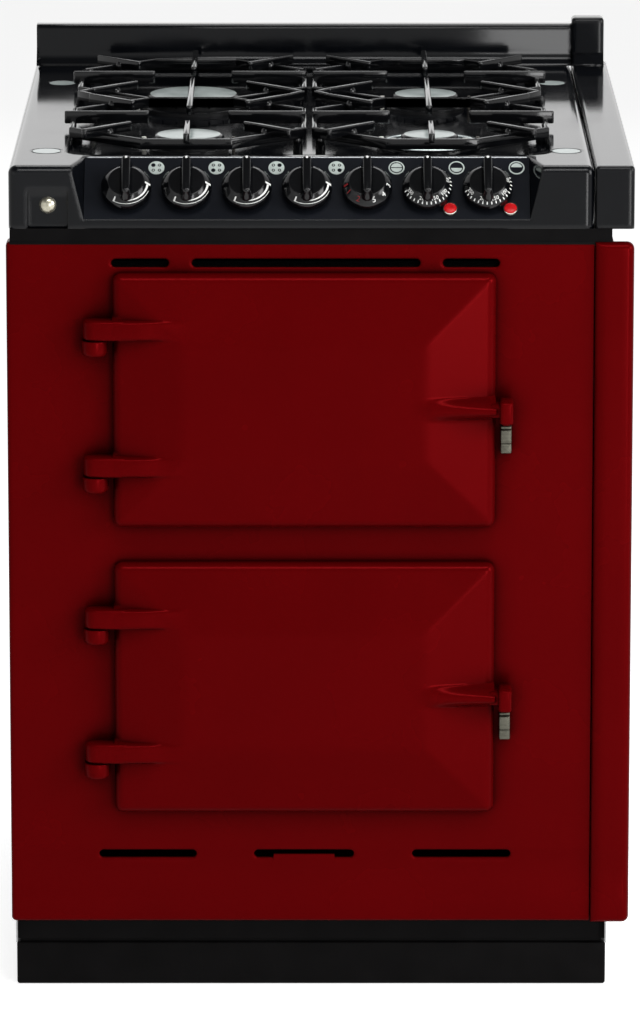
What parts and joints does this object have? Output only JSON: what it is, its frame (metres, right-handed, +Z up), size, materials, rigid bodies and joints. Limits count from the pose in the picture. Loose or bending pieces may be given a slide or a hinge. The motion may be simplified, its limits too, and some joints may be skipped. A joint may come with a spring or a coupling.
{
  "type": "dual fuel range cooker",
  "caption": "Free-standing range cooker with a gas hob on pan supports, a sloped row of control knobs and two side-hung oven doors, with a filler strip down one side.",
  "frame": {"origin": "on the floor under the middle of the object's box", "axes": "+X to the right as seen from the front, +Y to the back, +Z up"},
  "size_m": [0.626, 0.715, 0.902],
  "materials": {
    "red_enamel": "deep gloss vitreous enamel",
    "black_enamel": "gloss vitreous enamel",
    "black_paint": "satin paint",
    "charcoal_panel": "gloss enamel",
    "cast_black": "gloss enamel on cast iron",
    "cap_grey": "pale gloss caps",
    "knob_plastic": "gloss moulded plastic",
    "lamp_red": "clear red lens",
    "zinc_sheet": "galvanised sheet",
    "oven_enamel": "speckled oven enamel",
    "chrome_wire": "bright plated wire and sheet",
    "element_steel": "heat-dulled steel",
    "burner_alloy": "cast alloy",
    "brass": "turned brass",
    "pipe_steel": "plated steel",
    "catch_metal": "warm grey cast metal",
    "wool": "mineral wool",
    "seal_rope": "woven glass rope",
    "control_plastic": "heat-proof moulding"
  },
  "bodies": {
    "cabinet": {"front_panel": "red_enamel", "front_filler_strip": "red_enamel", "hinge_brackets": "red_enamel", "top_plate": "black_enamel", "top_filler_strip": "black_enamel", "upstand": "black_enamel", "hob_well": "black_enamel", "burner_caps": "black_enamel", "top_frame": "black_paint", "base_tray": "black_paint", "plinth": "black_paint", "control_fascia": "charcoal_panel", "top_plate_caps": "cap_grey", "neon_lamps": "lamp_red", "left_side_panel": "zinc_sheet", "right_side_panel": "zinc_sheet", "back_panel": "zinc_sheet", "upper_oven_liner": "oven_enamel", "lower_oven_liner": "oven_enamel", "fan_baffle": "oven_enamel", "shelf_runners": "chrome_wire", "grill_element": "element_steel", "fan_element": "element_steel", "spark_electrodes": "element_steel", "flame_probes": "element_steel", "burner_bases": "burner_alloy", "burner_heads": "burner_alloy", "gas_taps": "brass", "rail_bolt": "brass", "gas_pipework": "pipe_steel", "levelling_feet": "pipe_steel", "fan_motor": "pipe_steel", "door_catches": "catch_metal", "oven_insulation": "wool", "door_seals": "seal_rope", "oven_controls": "control_plastic", "electrical_boxes": "control_plastic", "cable_gland": "control_plastic"},
    "upper_door_leaf": {"upper_door": "red_enamel", "upper_door_insulation": "wool", "upper_door_liner": "oven_enamel"},
    "lower_door_leaf": {"lower_door": "red_enamel", "lower_door_insulation": "wool", "lower_door_liner": "oven_enamel"},
    "fan": {"fan_impeller": "burner_alloy"},
    "left_support": {"left_pan_support": "cast_black"},
    "right_support": {"right_pan_support": "cast_black"},
    "upper_shelf": {"upper_oven_shelf": "chrome_wire"},
    "lower_shelf": {"lower_oven_shelf": "chrome_wire"},
    "rear_left_spindle": {"rear_left_tap_spindle": "brass"},
    "rear_left_dial": {"rear_left_knob": "knob_plastic"},
    "front_left_spindle": {"front_left_tap_spindle": "brass"},
    "front_left_dial": {"front_left_knob": "knob_plastic"},
    "rear_right_spindle": {"rear_right_tap_spindle": "brass"},
    "rear_right_dial": {"rear_right_knob": "knob_plastic"},
    "front_right_spindle": {"front_right_tap_spindle": "brass"},
    "front_right_dial": {"front_right_knob": "knob_plastic"},
    "grill_dial": {"grill_knob": "knob_plastic"},
    "upper_oven_dial": {"upper_oven_knob": "knob_plastic"},
    "lower_oven_dial": {"lower_oven_knob": "knob_plastic"}
  },
  "joints": [
    {"name": "upper_door_hinge", "type": "hinge", "parent": "cabinet", "child": "upper_door_leaf", "pos_m": [-0.2246, -0.3325, 0.6149], "axis": [0, 0, -1], "range_deg": [0, 120]},
    {"name": "lower_door_hinge", "type": "hinge", "parent": "cabinet", "child": "lower_door_leaf", "pos_m": [-0.2246, -0.3325, 0.3199], "axis": [0, 0, -1], "range_deg": [0, 120]},
    {"name": "rear_left_tap_turn", "type": "hinge", "parent": "cabinet", "child": "rear_left_spindle", "pos_m": [-0.193, -0.29454, 0.82096], "axis": [0, -0.7071, 0.7071], "range_deg": [0, 210]},
    {"name": "rear_left_knob_push", "type": "slide", "parent": "rear_left_spindle", "child": "rear_left_dial", "axis": [0, 0.7071, -0.7071], "range_m": [0, 0.003], "stiffness_N_per_m": 600, "springref_m": -0.004},
    {"name": "front_left_tap_turn", "type": "hinge", "parent": "cabinet", "child": "front_left_spindle", "pos_m": [-0.133, -0.29454, 0.82096], "axis": [0, -0.7071, 0.7071], "range_deg": [0, 210]},
    {"name": "front_left_knob_push", "type": "slide", "parent": "front_left_spindle", "child": "front_left_dial", "axis": [0, 0.7071, -0.7071], "range_m": [0, 0.003], "stiffness_N_per_m": 600, "springref_m": -0.004},
    {"name": "rear_right_tap_turn", "type": "hinge", "parent": "cabinet", "child": "rear_right_spindle", "pos_m": [-0.073, -0.29454, 0.82096], "axis": [0, -0.7071, 0.7071], "range_deg": [0, 210]},
    {"name": "rear_right_knob_push", "type": "slide", "parent": "rear_right_spindle", "child": "rear_right_dial", "axis": [0, 0.7071, -0.7071], "range_m": [0, 0.003], "stiffness_N_per_m": 600, "springref_m": -0.004},
    {"name": "front_right_tap_turn", "type": "hinge", "parent": "cabinet", "child": "front_right_spindle", "pos_m": [-0.013, -0.29454, 0.82096], "axis": [0, -0.7071, 0.7071], "range_deg": [0, 210]},
    {"name": "front_right_knob_push", "type": "slide", "parent": "front_right_spindle", "child": "front_right_dial", "axis": [0, 0.7071, -0.7071], "range_m": [0, 0.003], "stiffness_N_per_m": 600, "springref_m": -0.004},
    {"name": "grill_knob_turn", "type": "hinge", "parent": "cabinet", "child": "grill_dial", "pos_m": [0.047, -0.29454, 0.82096], "axis": [0, 0.7071, -0.7071], "range_deg": [0, 270]},
    {"name": "upper_oven_knob_turn", "type": "hinge", "parent": "cabinet", "child": "upper_oven_dial", "pos_m": [0.107, -0.29454, 0.82096], "axis": [0, 0.7071, -0.7071], "range_deg": [0, 270]},
    {"name": "lower_oven_knob_turn", "type": "hinge", "parent": "cabinet", "child": "lower_oven_dial", "pos_m": [0.167, -0.29454, 0.82096], "axis": [0, 0.7071, -0.7071], "range_deg": [0, 270]},
    {"name": "fan_spin", "type": "hinge", "parent": "cabinet", "child": "fan", "pos_m": [-0.01575, 0.1385, 0.3199], "axis": [0, 1, 0], "continuous": true},
    {"name": "left_support_lift", "type": "slide", "parent": "cabinet", "child": "left_support", "axis": [0, 0, 1], "range_m": [0, 0.06]},
    {"name": "right_support_lift", "type": "slide", "parent": "cabinet", "child": "right_support", "axis": [0, 0, 1], "range_m": [0, 0.06]},
    {"name": "upper_shelf_slide", "type": "slide", "parent": "cabinet", "child": "upper_shelf", "axis": [0, -1, 0], "range_m": [0, 0.025]},
    {"name": "lower_shelf_slide", "type": "slide", "parent": "cabinet", "child": "lower_shelf", "axis": [0, -1, 0], "range_m": [0, 0.025]}
  ]
}
